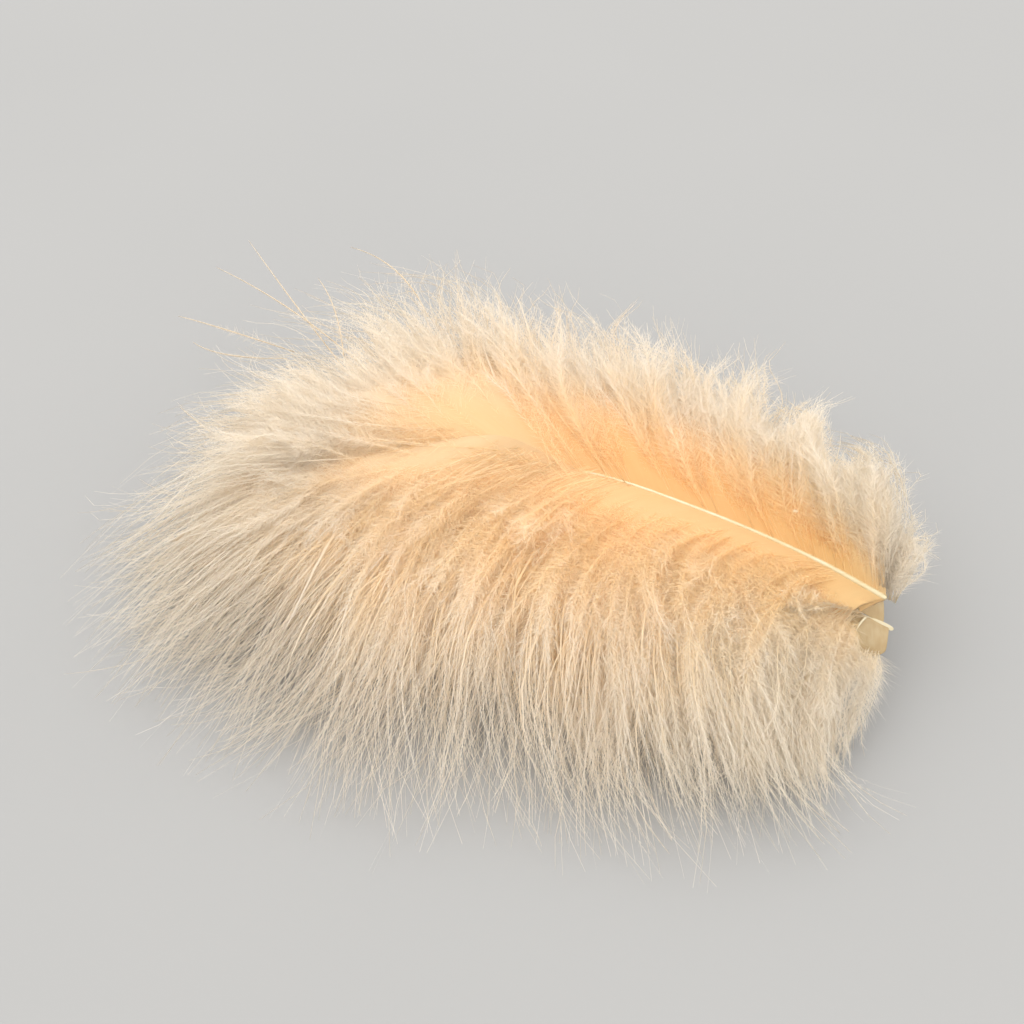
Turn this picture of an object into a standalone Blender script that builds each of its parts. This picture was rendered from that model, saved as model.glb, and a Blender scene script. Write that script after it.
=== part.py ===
# Marabou feather: a fluffy plume of dyed down lying on a flat surface.
# It grew as one piece, so it is one solid: a thin curved shaft with its locks of down, the afterfeather's
# short stub and the skin that joins the two at the quill's end.
# Metres, +Z up. The quill's end points to +X, the plume's tip to -X, and the surface is at z = 0.

import math

import bpy
import bmesh
from mathutils import Vector

# The shaft's middle line, from the quill's cut end to the tip that is hidden in the down.
SHAFT_ROUTE = (
    Vector((0.0535, -0.0183, 0.0123)),
    Vector((0.0433, -0.0126, 0.0136)),
    Vector((0.0298, -0.0045, 0.0148)),
    Vector((0.0138, 0.0023, 0.0155)),
    Vector((-0.0017, 0.0045, 0.0145)),
    Vector((-0.0167, 0.0047, 0.0115)),
)
SHAFT_POINTS = 15
SHAFT_SIDES = 8
SHAFT_RADIUS_AT_QUILL = 0.00048
SHAFT_RADIUS_AT_TIP = 0.00018

# The afterfeather's stub, below the quill's end: a short thick root with a round end.
STUB_ROUTE = (
    Vector((0.0541, -0.0201, 0.0094)),
    Vector((0.0521, -0.0197, 0.0102)),
    Vector((0.0495, -0.0188, 0.0106)),
    Vector((0.0463, -0.0173, 0.0100)),
)
STUB_RADIUS = 0.00055
STUB_END_RADIUS = 0.00038

# The skin that hangs from the quill's end down to the stub.
SKIN_ROUTE = (
    Vector((0.0533, -0.0183, 0.0121)),
    Vector((0.0535, -0.0192, 0.0110)),
    Vector((0.0533, -0.0200, 0.0096)),
)
SKIN_RADIUS = 0.00045
SKIN_SIDES = 6

# How the down grows on either side, at five even places from the quill (first) to the shaft's tip (last).
# A heading is the angle in degrees from the plume's tip direction (-X) to where the lock's end lies.
# A lock leaves the shaft at its heading times the start turn, and its end points along its heading times
# the end turn. Each turn is given at the quill and at the tip.
SIDES = {
    "near": {
        "sign": -1.0,
        "headings": (84.0, 68.0, 60.0, 40.0, 8.0),
        "lengths": (0.0230, 0.0395, 0.0490, 0.0540, 0.0425),
        "start_turn": (0.10, 0.90),
        "end_turn": (1.32, 0.90),
        "first_handle": 0.42,
        "last_handle": 0.36,
    },
    "far": {
        "sign": 1.0,
        "headings": (104.0, 90.0, 76.0, 50.0, 4.0),
        "lengths": (0.0205, 0.0330, 0.0430, 0.0470, 0.0350),
        "start_turn": (0.75, 0.90),
        "end_turn": (1.06, 0.90),
        "first_handle": 0.36,
        "last_handle": 0.34,
    },
}
LONGEST_LOCK = 0.054

# Each layer of locks: its side, how many, the heights that a lock's back arches through, the height of its
# end, the share of the full length that it reaches, and its half thickness.
LAYERS = (
    {"side": "near", "count": 15, "arch": (0.0165, 0.0175), "foot": 0.0030, "reach": 1.00, "half": 0.0042},
    {"side": "near", "count": 13, "arch": (0.0110, 0.0115), "foot": 0.0012, "reach": 0.94, "half": 0.0060},
    {"side": "far", "count": 15, "arch": (0.0235, 0.0245), "foot": 0.0190, "reach": 1.00, "half": 0.0041},
    {"side": "far", "count": 13, "arch": (0.0180, 0.0190), "foot": 0.0105, "reach": 1.06, "half": 0.0050},
    {"side": "far", "count": 11, "arch": (0.0115, 0.0120), "foot": 0.0012, "reach": 1.06, "half": 0.0060},
)
LOCK_POINTS = 7
LOCK_SIDES = 6
ROOT_RADIUS = 0.0010
SWELL_END = 0.33
TIP_RADIUS = 0.00035
TAPER_POWER = 2.2
ROOT_DROP = 0.0002

# A short lock is thinner than a long one, by this power of its share of the longest.
SLIMMING_POWER = 0.6

# No two locks are quite alike: each one's heading (degrees), length and thickness sway by up to this much.
# Its root moves along the shaft by up to this share of the space between two locks.
HEADING_SWAY = 4.0
LENGTH_SWAY = 0.05
THICKNESS_SWAY = 0.12
ROOT_SWAY = 0.25
SWAY_STEP = 2.4
SWAY_SHIFT = 1.7

# Roots stand closer together towards the shaft's tip, where the down fans out.
CROWDING = 1.25

DOWN_COLOUR = (0.93, 0.66, 0.40, 1.0)
DOWN_ROUGHNESS = 0.85

MERGE_DISTANCE = 0.000001
SHORTEST_EDGE = 0.000005
BLOCK_WIDTH = 0.3
BLOCK_DEPTH = 0.1

COLLECTION_NAME = "marabou_feather"
CUTTER_COLLECTION_NAME = "cutters"


def clear_scene():
    for obj in list(bpy.data.objects):
        bpy.data.objects.remove(obj, do_unlink=True)


def new_collection(name):
    collection = bpy.data.collections.new(name)
    bpy.context.scene.collection.children.link(collection)
    return collection


def peach_down_material():
    material = bpy.data.materials.new("peach_down")
    material.use_nodes = True
    shader = material.node_tree.nodes["Principled BSDF"]
    shader.inputs["Base Color"].default_value = DOWN_COLOUR
    shader.inputs["Roughness"].default_value = DOWN_ROUGHNESS
    shader.inputs["Metallic"].default_value = 0.0
    return material


def blend_four(a, b, c, d, f):
    """The smooth curve through b and c, with a and d as its neighbours, at the share f."""
    return 0.5 * (2 * b + (c - a) * f + (2 * a - 5 * b + 4 * c - d) * f ** 2 + (3 * b - a - 3 * c + d) * f ** 3)


def along(values, share):
    """A smooth curve through evenly spaced values, at a share from 0 to 1."""
    spans = len(values) - 1
    place = min(max(share, 0.0), 1.0) * spans
    index = min(int(place), spans - 1)
    before = values[index - 1] if index > 0 else 2 * values[0] - values[1]
    after = values[index + 2] if index + 2 <= spans else 2 * values[-1] - values[-2]
    return blend_four(before, values[index], values[index + 1], after, place - index)


def ease(share):
    share = min(max(share, 0.0), 1.0)
    return share * share * (3 - 2 * share)


def direction(angle, sign):
    """The level direction at an angle from the plume's tip direction, towards one side."""
    return Vector((-math.cos(angle), sign * math.sin(angle), 0.0))


def sway(number, kind):
    """An even mix of values from -1 to 1, one for each lock and kind of change."""
    return math.sin(SWAY_STEP * number + SWAY_SHIFT * kind)


def turned(turn, share):
    """A turn that goes from its value at the quill to its value at the shaft's tip."""
    return turn[0] + (turn[1] - turn[0]) * share ** 2


def lock_path(layer, share, number):
    """Four control points of the line along one lock's back, for its root's share of the shaft."""
    side = SIDES[layer["side"]]
    heading = math.radians(along(side["headings"], share) + HEADING_SWAY * sway(number, 1))
    length = along(side["lengths"], share) * layer["reach"] * (1 + LENGTH_SWAY * sway(number, 2))
    leaving = direction(heading * turned(side["start_turn"], share), side["sign"])
    ending = direction(heading * turned(side["end_turn"], share), side["sign"])
    root = along(SHAFT_ROUTE, share) - Vector((0, 0, ROOT_DROP))
    end = root + direction(heading, side["sign"]) * length
    end.z = layer["foot"]
    first = root + leaving * length * side["first_handle"]
    first.z = layer["arch"][0]
    last = end - ending * length * side["last_handle"]
    last.z = layer["arch"][1]
    return root, first, last, end


def on_path(path, t):
    a, b, c, d = path
    return a * (1 - t) ** 3 + 3 * b * t * (1 - t) ** 2 + 3 * c * t ** 2 * (1 - t) + d * t ** 3


def lock_radius(half, t):
    """Narrow at the root, fullest past a third, then tapering to a point."""
    swell = ROOT_RADIUS + (half - ROOT_RADIUS) * ease(t / SWELL_END)
    taper = math.sqrt(max(0.0, 1 - t ** TAPER_POWER))
    return TIP_RADIUS + (swell - TIP_RADIUS) * taper


def tube(name, points, radii, sides):
    """A closed tube along points, with its own radius at each, as a mesh object."""
    curve = bpy.data.curves.new("route", "CURVE")
    curve.dimensions = "3D"
    curve.bevel_depth = 1.0
    curve.bevel_resolution = (sides - 4) // 2
    curve.use_fill_caps = True
    spline = curve.splines.new("POLY")
    spline.points.add(len(points) - 1)
    for target, point, radius in zip(spline.points, points, radii):
        target.co = (point.x, point.y, point.z, 1.0)
        target.radius = radius
    source = bpy.data.objects.new("route", curve)
    bpy.context.scene.collection.objects.link(source)
    bpy.context.view_layer.update()
    evaluated = source.evaluated_get(bpy.context.evaluated_depsgraph_get())
    mesh = bpy.data.meshes.new_from_object(evaluated)
    made = bpy.data.objects.new(name, mesh)
    made.matrix_world = source.matrix_world
    bpy.data.objects.remove(source, do_unlink=True)
    shape = bmesh.new()
    shape.from_mesh(mesh)
    bmesh.ops.remove_doubles(shape, verts=shape.verts, dist=MERGE_DISTANCE)
    bmesh.ops.recalc_face_normals(shape, faces=shape.faces)
    shape.to_mesh(mesh)
    shape.free()
    return made


def shaft():
    shares = [i / (SHAFT_POINTS - 1) for i in range(SHAFT_POINTS)]
    points = [along(SHAFT_ROUTE, share) for share in shares]
    radii = [SHAFT_RADIUS_AT_QUILL + (SHAFT_RADIUS_AT_TIP - SHAFT_RADIUS_AT_QUILL) * s for s in shares]
    return tube("marabou_feather", points, radii, SHAFT_SIDES)


def stub():
    radii = [STUB_END_RADIUS] + [STUB_RADIUS] * (len(STUB_ROUTE) - 1)
    return tube("stub", STUB_ROUTE, radii, SHAFT_SIDES)


def skin():
    return tube("skin", SKIN_ROUTE, [SKIN_RADIUS] * len(SKIN_ROUTE), SKIN_SIDES)


def lock(layer, share, number):
    """One lock: a tapered tube that hangs from the line along its back."""
    path = lock_path(layer, share, number)
    short = (along(SIDES[layer["side"]]["lengths"], share) / LONGEST_LOCK) ** SLIMMING_POWER
    half = layer["half"] * short * (1 + THICKNESS_SWAY * sway(number, 3))
    steps = [i / (LOCK_POINTS - 1) for i in range(LOCK_POINTS)]
    radii = [lock_radius(half, t) for t in steps]
    points = [on_path(path, t) - Vector((0, 0, radius)) for t, radius in zip(steps, radii)]
    return tube(f"lock_{number:02d}", points, radii, LOCK_SIDES)


def locks():
    made = []
    for layer in LAYERS:
        for i in range(layer["count"]):
            number = len(made)
            place = (i + 0.5 + ROOT_SWAY * sway(number, 4)) / layer["count"]
            made.append(lock(layer, 1 - (1 - place) ** CROWDING, number))
    return made


def table_cutter():
    """A block below z = 0: what presses on the surface lies flat on it."""
    bpy.ops.mesh.primitive_cube_add(size=1.0, location=(0, 0, -BLOCK_DEPTH / 2))
    block = bpy.context.active_object
    block.name = "table_cutter"
    block.scale = (BLOCK_WIDTH, BLOCK_WIDTH, BLOCK_DEPTH)
    bpy.ops.object.transform_apply(location=False, rotation=False, scale=True)
    return block


def put_in(collection, obj):
    for holder in list(obj.users_collection):
        holder.objects.unlink(obj)
    collection.objects.link(obj)


def hide_cutter(collection, obj):
    put_in(collection, obj)
    obj.hide_render = True
    obj.display_type = "WIRE"


def islands(shape):
    """The groups of faces that hang together."""
    left = set(shape.faces)
    groups = []
    while left:
        start = left.pop()
        group = [start]
        queue = [start]
        while queue:
            for edge in queue.pop().edges:
                for face in edge.link_faces:
                    if face in left:
                        left.remove(face)
                        group.append(face)
                        queue.append(face)
        groups.append(group)
    return groups


def fused(obj):
    """The object with its Booleans applied, and with the pockets between its locks filled."""
    bpy.context.view_layer.update()
    evaluated = obj.evaluated_get(bpy.context.evaluated_depsgraph_get())
    mesh = bpy.data.meshes.new_from_object(evaluated)
    shape = bmesh.new()
    shape.from_mesh(mesh)
    bmesh.ops.triangulate(shape, faces=shape.faces)
    bmesh.ops.dissolve_degenerate(shape, dist=SHORTEST_EDGE, edges=shape.edges)
    outside = max(islands(shape), key=len)
    kept = set(outside)
    pockets = [face for face in shape.faces if face not in kept]
    bmesh.ops.delete(shape, geom=pockets, context="FACES")
    loose = [edge for edge in shape.edges if not edge.link_faces]
    bmesh.ops.delete(shape, geom=loose, context="EDGES")
    shape.to_mesh(mesh)
    shape.free()
    obj.modifiers.clear()
    obj.data = mesh


def main():
    clear_scene()
    parts = new_collection(COLLECTION_NAME)
    cutters = new_collection(CUTTER_COLLECTION_NAME)
    feather = shaft()
    put_in(parts, feather)
    feather.data.materials.append(peach_down_material())
    for piece in [stub(), skin()] + locks():
        hide_cutter(cutters, piece)
    union = feather.modifiers.new("fuse", "BOOLEAN")
    union.operation = "UNION"
    union.operand_type = "COLLECTION"
    union.collection = cutters
    union.solver = "EXACT"
    block = table_cutter()
    trim = feather.modifiers.new("flat_underside", "BOOLEAN")
    trim.operation = "DIFFERENCE"
    trim.object = block
    trim.solver = "EXACT"
    fused(feather)
    hide_cutter(cutters, block)


main()
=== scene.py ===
# %% [markdown]
# # A marabou feather
# A marabou plume is a loose, dyed down feather. A thin horny shaft carries thousands of soft barbs, and
# each barb is edged with two rows of barbules, hairs so fine that together they read as a haze. The
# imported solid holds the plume's form as faceted locks. Here barbs and barbules grow along the same paths,
# in its place.

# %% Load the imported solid
import math
from types import SimpleNamespace

import bpy
import numpy as np
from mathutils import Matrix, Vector


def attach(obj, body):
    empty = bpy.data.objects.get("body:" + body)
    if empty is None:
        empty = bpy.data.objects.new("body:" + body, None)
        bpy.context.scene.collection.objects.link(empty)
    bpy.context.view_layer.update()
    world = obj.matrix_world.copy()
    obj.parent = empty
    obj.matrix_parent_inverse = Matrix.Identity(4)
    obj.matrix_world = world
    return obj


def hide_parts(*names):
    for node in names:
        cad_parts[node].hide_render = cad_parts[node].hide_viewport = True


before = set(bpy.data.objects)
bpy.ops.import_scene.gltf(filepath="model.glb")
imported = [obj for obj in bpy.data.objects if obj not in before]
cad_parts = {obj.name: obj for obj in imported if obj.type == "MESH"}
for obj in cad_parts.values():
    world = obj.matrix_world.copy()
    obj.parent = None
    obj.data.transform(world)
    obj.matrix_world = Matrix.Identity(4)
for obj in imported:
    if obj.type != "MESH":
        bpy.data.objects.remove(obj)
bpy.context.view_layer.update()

# %% [markdown]
# ## Camera, light and floor
# The plume is looked down on at 48 degrees from its near side, from close by. So short a distance makes
# the far side visibly smaller. That is why the distance and the lens are set together, and not the angle
# alone.

# %% Camera
LOOK_DOWN = math.radians(48.0)
CAMERA_DISTANCE = 0.172
LOOK_AT = Vector((0.0033, 0.0097, 0.0))
LENS_MM = 38.7
SENSOR_MM = 36.0
CLIP = (0.005, 10.0)


def add_camera():
    data = bpy.data.cameras.new("camera")
    data.lens = LENS_MM
    data.sensor_width = SENSOR_MM
    data.clip_start, data.clip_end = CLIP
    camera = bpy.data.objects.new("camera", data)
    bpy.context.collection.objects.link(camera)
    back = Vector((0.0, -math.cos(LOOK_DOWN), math.sin(LOOK_DOWN)))
    camera.location = LOOK_AT + back * CAMERA_DISTANCE
    camera.rotation_euler = (math.radians(90.0) - LOOK_DOWN, 0.0, 0.0)
    bpy.context.scene.camera = camera
    return camera


camera = add_camera()
bpy.context.scene.view_settings.view_transform = "Standard"
print("camera at", [round(v, 3) for v in camera.location])

# %% [markdown]
# Materials and the sky are made of nodes, which are easier to read as sums. This class wraps a node's
# output, so that ordinary operators add Math nodes, and its one method adds any other node.


# %% A node's output in Python sums
class Socket:
    """An output of a node in one tree. Operators on it add Math nodes."""

    def __init__(self, tree, output=None):
        self.tree = tree
        self.output = output

    def node(self, kind, settings, sockets, output=0):
        """Adds a node: first its settings, then the values or links of its sockets. Gives one output."""
        made = self.tree.nodes.new(kind)
        for name, value in settings.items():
            if name == "stops":
                elements = made.color_ramp.elements
                while len(elements) < len(value):
                    elements.new(0.5)
                for element, (position, colour) in zip(elements, value):
                    element.position = position
                    element.color = (*colour, 1.0)
            else:
                setattr(made, name, value)
        for key, value in sockets.items():
            if isinstance(value, Socket):
                self.tree.links.new(value.output, made.inputs[key])
            else:
                made.inputs[key].default_value = value
        return Socket(self.tree, made.outputs[output] if len(made.outputs) else None)

    def math(self, operation, first, second):
        return self.node("ShaderNodeMath", {"operation": operation}, {0: first, 1: second})

    def __add__(self, other):
        return self.math("ADD", self, other)

    __radd__ = __add__

    def __sub__(self, other):
        return self.math("SUBTRACT", self, other)

    def __rsub__(self, other):
        return self.math("SUBTRACT", other, self)

    def __mul__(self, other):
        return self.math("MULTIPLY", self, other)

    __rmul__ = __mul__

    def __pow__(self, power):
        return self.math("POWER", self, power)

    def at_least(self, low):
        return self.math("MAXIMUM", self, low)


def empty_tree(owner):
    """Takes the default nodes out of a new material or world."""
    owner.use_nodes = True
    owner.node_tree.nodes.clear()
    return Socket(owner.node_tree)


def new_material(name):
    material = bpy.data.materials.new(name)
    return material, empty_tree(material)


def noise(nodes, place, scale, detail, distortion=0.0):
    values = {"Vector": place, "Scale": scale, "Detail": detail, "Distortion": distortion}
    return nodes.node("ShaderNodeTexNoise", {}, values)


def ramp(nodes, stops, share):
    return nodes.node("ShaderNodeValToRGB", {"stops": stops}, {0: share})


def shown(nodes, surface):
    return nodes.node("ShaderNodeOutputMaterial", {}, {"Surface": surface})


def solid_surface(nodes, values):
    """A Principled surface with these values, which the material shows."""
    return shown(nodes, nodes.node("ShaderNodeBsdfPrincipled", {}, values))


# %% [markdown]
# Down is lit best by a big soft sky, because a hard lamp would draw a shadow behind every hair. The sky
# is brightest overhead, and a wide soft glow stands behind the plume's tip, so that it shines through the
# fringe.

# %% Sky
SKY_COLOUR = (1.0, 0.995, 0.985, 1.0)
SKY_BASE = 0.97
SKY_OVERHEAD = 0.80
GLOW = 0.50
GLOW_FROM = Vector((-0.45, 0.12, 0.88)).normalized()
GLOW_TIGHTNESS = 3.0


def add_sky():
    world = bpy.data.worlds.new("soft_studio")
    world.cycles.sampling_method = "NONE"
    sky = empty_tree(world)
    direction = sky.node("ShaderNodeTexCoord", {}, {}, "Generated")
    height = sky.node("ShaderNodeSeparateXYZ", {}, {0: direction}, "Z")
    both = {0: direction, 1: GLOW_FROM}
    towards = sky.node("ShaderNodeVectorMath", {"operation": "DOT_PRODUCT"}, both, "Value")
    glow = GLOW * towards.at_least(0.0) ** GLOW_TIGHTNESS
    strength = SKY_BASE + SKY_OVERHEAD * height.at_least(0.0) + glow
    light = sky.node("ShaderNodeBackground", {}, {"Color": SKY_COLOUR, "Strength": strength})
    sky.node("ShaderNodeOutputWorld", {}, {"Surface": light})
    bpy.context.scene.world = world
    return world


print("sky:", len(add_sky().node_tree.nodes), "nodes")

# %% [markdown]
# The floor is a plain pale studio surface. Very faint clouds in its tone keep it from looking like paper
# cut out.


# %% Floor
FLOOR_SIZE = 4.0
FLOOR_TONES = ((0.0, (0.350, 0.347, 0.341)), (1.0, (0.374, 0.370, 0.363)))
FLOOR_CLOUDS = 9.0
FLOOR_ROUGHNESS = 0.9


def clear_selection():
    if bpy.context.object and bpy.context.object.mode != "OBJECT":
        bpy.ops.object.mode_set(mode="OBJECT")
    bpy.ops.object.select_all(action="DESELECT")


def add_floor():
    clear_selection()
    bpy.ops.mesh.primitive_plane_add(size=FLOOR_SIZE, location=(0.0, 0.0, 0.0))
    floor = bpy.context.active_object
    floor.name = "floor"
    material, nodes = new_material("pale_floor")
    place = nodes.node("ShaderNodeTexCoord", {}, {}, "Object")
    tone = ramp(nodes, FLOOR_TONES, noise(nodes, place, FLOOR_CLOUDS, 2.0))
    solid_surface(nodes, {"Base Color": tone, "Roughness": FLOOR_ROUGHNESS})
    floor.data.materials.append(material)
    return floor


print("floor:", add_floor().name)

# %% [markdown]
# ## The paths that the down grows on
# The barbs leave the shaft one after another and bend over like grass in wind. The solid's locks follow a
# few lists of headings, lengths and heights along the shaft. The same lists are repeated here, because
# then every barb lies in the form that the solid holds, and no place on it has to be fitted by eye.

# %% Paths
SHAFT_ROUTE = (
    (0.0535, -0.0178, 0.0127),
    (0.0433, -0.0114, 0.0144),
    (0.0298, -0.0044, 0.0158),
    (0.0138, 0.0023, 0.0166),
    (-0.0017, 0.0045, 0.0152),
    (-0.0167, 0.0047, 0.0115),
)
STUB_ROUTE = (
    (0.0535, -0.0197, 0.0095),
    (0.0524, -0.0193, 0.0100),
    (0.0510, -0.0188, 0.0104),
    (0.0492, -0.0181, 0.0107),
)
SIDES = {
    "near": {
        "sign": -1.0,
        "headings": (74.0, 66.0, 60.0, 40.0, 8.0),
        "lengths": (0.0245, 0.0385, 0.0490, 0.0540, 0.0425),
        "start_turn": (0.10, 0.90),
        "end_turn": (1.62, 0.62),
        "handles": (0.42, 0.40),
    },
    "far": {
        "sign": 1.0,
        "headings": (100.0, 88.0, 76.0, 50.0, 4.0),
        "lengths": (0.0205, 0.0270, 0.0330, 0.0385, 0.0430, 0.0465, 0.0480, 0.0375, 0.0300),
        "start_turn": (0.75, 0.90),
        "end_turn": (1.06, 0.90),
        "handles": (0.36, 0.34),
    },
}
LONGEST_LOCK = 0.054
LAYERS = (
    {"side": "near", "arch": (0.0165, 0.0175), "foot": 0.0030, "reach": 1.00, "half": 0.0042},
    {"side": "near", "arch": (0.0110, 0.0115), "foot": 0.0012, "reach": 0.94, "half": 0.0060},
    {"side": "far", "arch": (0.0235, 0.0245), "foot": 0.0190, "reach": 1.00, "half": 0.0041},
    {"side": "far", "arch": (0.0180, 0.0190), "foot": 0.0105, "reach": 1.06, "half": 0.0050},
    {"side": "far", "arch": (0.0115, 0.0120), "foot": 0.0012, "reach": 1.06, "half": 0.0060},
)
CROWDING = 1.25
ROOT_RADIUS = 0.0010
TIP_RADIUS = 0.0003
SWELL_END = 0.33
TAPER_POWER = 2.2
SLIMMING_POWER = 0.6
LAYER_FILL = 0.95


def along(values, share):
    """A smooth curve through evenly spaced values, at shares from 0 to 1."""
    table = np.array(values, float)
    spans = len(table) - 1
    padded = np.concatenate([[2 * table[0] - table[1]], table, [2 * table[-1] - table[-2]]])
    place = np.clip(share, 0.0, 1.0) * spans
    index = np.minimum(place.astype(int), spans - 1)
    f = (place - index).reshape(place.shape + (1,) * (table.ndim - 1))
    a, b, c, d = (padded[index + k] for k in range(4))
    square, cube = 2 * a - 5 * b + 4 * c - d, 3 * b - a - 3 * c + d
    return 0.5 * (2 * b + (c - a) * f + square * f ** 2 + cube * f ** 3)


def ease(low, high, value):
    """0 below low, 1 above high and smooth in between."""
    share = np.clip((value - low) / (high - low), 0.0, 1.0)
    return share * share * (3 - 2 * share)


def between(pair, share):
    return pair[0] + (pair[1] - pair[0]) * share


def even_shares(count, rings):
    """For each of count lines, even shares of its way from 0 to 1."""
    return np.linspace(0, 1, rings)[None, :] * np.ones((count, 1))


def unit(vectors):
    return vectors / np.maximum(np.linalg.norm(vectors, axis=-1, keepdims=True), 1e-12)


def frames(lines):
    """The directions ahead, across and up along each line."""
    ahead = unit(np.gradient(lines, axis=1))
    up = np.zeros_like(ahead)
    up[..., 2] = 1.0
    across = unit(np.cross(ahead, up))
    return ahead, across, np.cross(across, ahead)


shaft_line = along(SHAFT_ROUTE, np.linspace(0, 1, 60))
print("shaft length (mm):", round(1000 * float(np.linalg.norm(np.diff(shaft_line, axis=0), axis=1).sum()), 1))

# %% [markdown]
# Down hangs together in tufts of a few barbs. A tuft is a row in a table: where it starts on the shaft,
# its heading, its length, how high it arches, and how it waves and hooks. All rows of a table are worked
# out at once as arrays, which is much faster than making them one by one.


# %% Tufts
TURNS = (7.0, 15.0)
BEND_SPREADS = (8.0, 20.0)
STRETCH = (0.95, 0.08)
STRETCH_LIMITS = (0.72, 1.04)
WAVE = 0.0018
WAVES = 1.4
HOOK = 0.0030
LIFT = 0.0010
RISE = 0.0009
BY_QUILL = 0.15
BURIED = 0.0050
STUB_DROP = np.array([0.0, -0.0010, -0.0026])
STUB_ARCH_DROP = 0.0052
BELOW_SKIN = 0.17
LEVELLING = {"near": 0.0026, "far": -0.0018}


class Rows(SimpleNamespace):
    """A table of tufts or barbs. Each attribute is an array with a row for every one of them."""

    def made(self, change):
        """A new table, with each array changed in the same way."""
        return Rows(**{key: change(values) for key, values in vars(self).items()})


def root_at(share):
    """Where barbs start: on the shaft, and above it at its hidden end, where loose down buries it."""
    root = along(SHAFT_ROUTE, share)
    root[:, 2] += BURIED * ease(0.60, 0.78, share)
    return root


def hung_from_stub(tufts):
    """The near side's first tufts hang from the stub, lower than the shaft, and start below its skin."""
    near = tufts.sign < 0
    part = (1 - ease(0.05, 0.15, tufts.share)) * near
    tufts.root = tufts.root + part[:, None] * STUB_DROP
    tufts.arch_a = tufts.arch_a - part * STUB_ARCH_DROP
    tufts.arch_b = tufts.arch_b - part * STUB_ARCH_DROP
    tufts.from_t = np.maximum(tufts.from_t, BELOW_SKIN * (1 - ease(0.07, 0.12, tufts.share)) * near)
    return tufts


def first_arch(layer, share):
    """Height of a barb's first arch; towards the tip the two sides level out."""
    return layer["arch"][0] + LEVELLING[layer["side"]] * ease(0.74, 0.94, share)


def tufts_of(layer, low, high, count, rng, depth=0.0):
    """Tufts that start between two places on the shaft. Depth 0 is the layer's top, and 1 its bottom."""
    side = SIDES[layer["side"]]
    place = low + (high - low) * (np.arange(count) + rng.uniform(0, 1, count)) / count
    share = 1 - (1 - place) ** CROWDING
    turn = rng.normal(0, 1, count) * between(TURNS, ease(0.5, 0.85, share))
    turn = np.where(share < BY_QUILL, -np.abs(turn), turn)
    hook = rng.normal(0, 1.0, count)
    hook = np.where(share < BY_QUILL, -np.abs(hook), hook)
    stretch = np.clip(rng.normal(*STRETCH, count), *STRETCH_LIMITS)
    heading = np.radians(along(side["headings"], share) + turn)
    rise = rng.normal(0, RISE, count)
    curl = 0.9 * ease(0.04, 0.2, share) * (1 - ease(0.45, 0.6, share)) if side["sign"] < 0 else 0.0
    bends = [
        heading * between(side[key], share ** 2) + np.radians(rng.normal(0, spread, count))
        for key, spread in zip(("start_turn", "end_turn"), BEND_SPREADS)
    ]
    return hung_from_stub(Rows(
        share=share,
        sign=np.full(count, side["sign"]),
        root=root_at(share),
        heading=heading,
        length=along(side["lengths"], share) * layer["reach"] * stretch * (1 - 0.08 * depth),
        start=bends[0],
        finish=bends[1],
        handle_a=np.full(count, side["handles"][0]),
        handle_b=np.full(count, side["handles"][1]),
        arch_a=first_arch(layer, share) + 0.4 * rise,
        arch_b=layer["arch"][1] + rise,
        foot=layer["foot"] + 0.5 * rise,
        half=layer["half"] * (along(side["lengths"], share) / LONGEST_LOCK) ** SLIMMING_POWER,
        depth=depth * np.ones(count),
        wave=rng.uniform(0.2, 1.0, count) * WAVE,
        phase=rng.uniform(0, 2 * math.pi, count),
        hook=(curl + hook) * HOOK,
        lift=rng.normal(0.3, 1.0, count) * LIFT,
        tone=rng.normal(0, 1, count),
        pale=np.zeros(count),
        reach=np.ones(count),
        from_t=np.zeros(count),
    ))


def lock_half(tufts, t):
    """Half the thickness of the solid's lock at t, as in the solid."""
    swell = ROOT_RADIUS + (tufts.half[:, None] - ROOT_RADIUS) * ease(0.0, SWELL_END, t)
    return TIP_RADIUS + (swell - TIP_RADIUS) * np.sqrt(np.clip(1 - t ** TAPER_POWER, 0, 1))


def level(angle, sign):
    """Level directions at angles from the plume's tip direction, towards one side."""
    return np.stack([-np.cos(angle), sign * np.sin(angle), np.zeros_like(angle)], axis=-1)


def lines_of(tufts, s):
    """Middle lines of tufts. s runs from a line's first point (0) to its tip (1), t along its whole path."""
    t = tufts.from_t[:, None] + (tufts.reach - tufts.from_t)[:, None] * s
    sign, length = tufts.sign, tufts.length[:, None]
    root = tufts.root
    end = root + level(tufts.heading, sign) * length
    end[:, 2] = tufts.foot
    first = root + level(tufts.start, sign) * length * tufts.handle_a[:, None]
    first[:, 2] = tufts.arch_a
    last = end - level(tufts.finish, sign) * length * tufts.handle_b[:, None]
    last[:, 2] = tufts.arch_b
    p = t[:, :, None]
    a, b, c, d = (q[:, None, :] for q in (root, first, last, end))
    lines = a * (1 - p) ** 3 + 3 * b * p * (1 - p) ** 2 + 3 * c * p ** 2 * (1 - p) + d * p ** 3
    across = level(tufts.heading + math.pi / 2, sign)
    sideways = tufts.wave[:, None] * t ** 1.2 * np.sin(tufts.phase[:, None] + 2 * math.pi * WAVES * t)
    sideways += tufts.hook[:, None] * tufts.reach[:, None] * s ** 3
    lines += across[:, None, :] * sideways[:, :, None]
    lines[:, :, 2] += tufts.lift[:, None] * s ** 2
    lines[:, :, 2] -= tufts.depth[:, None] * 2 * lock_half(tufts, t) * LAYER_FILL
    return lines, across, t


some = tufts_of(LAYERS[0], 0.0, 1.0, 5, np.random.default_rng(1))
print("five tufts, lengths (mm):", np.round(1000 * some.length, 1))

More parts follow.
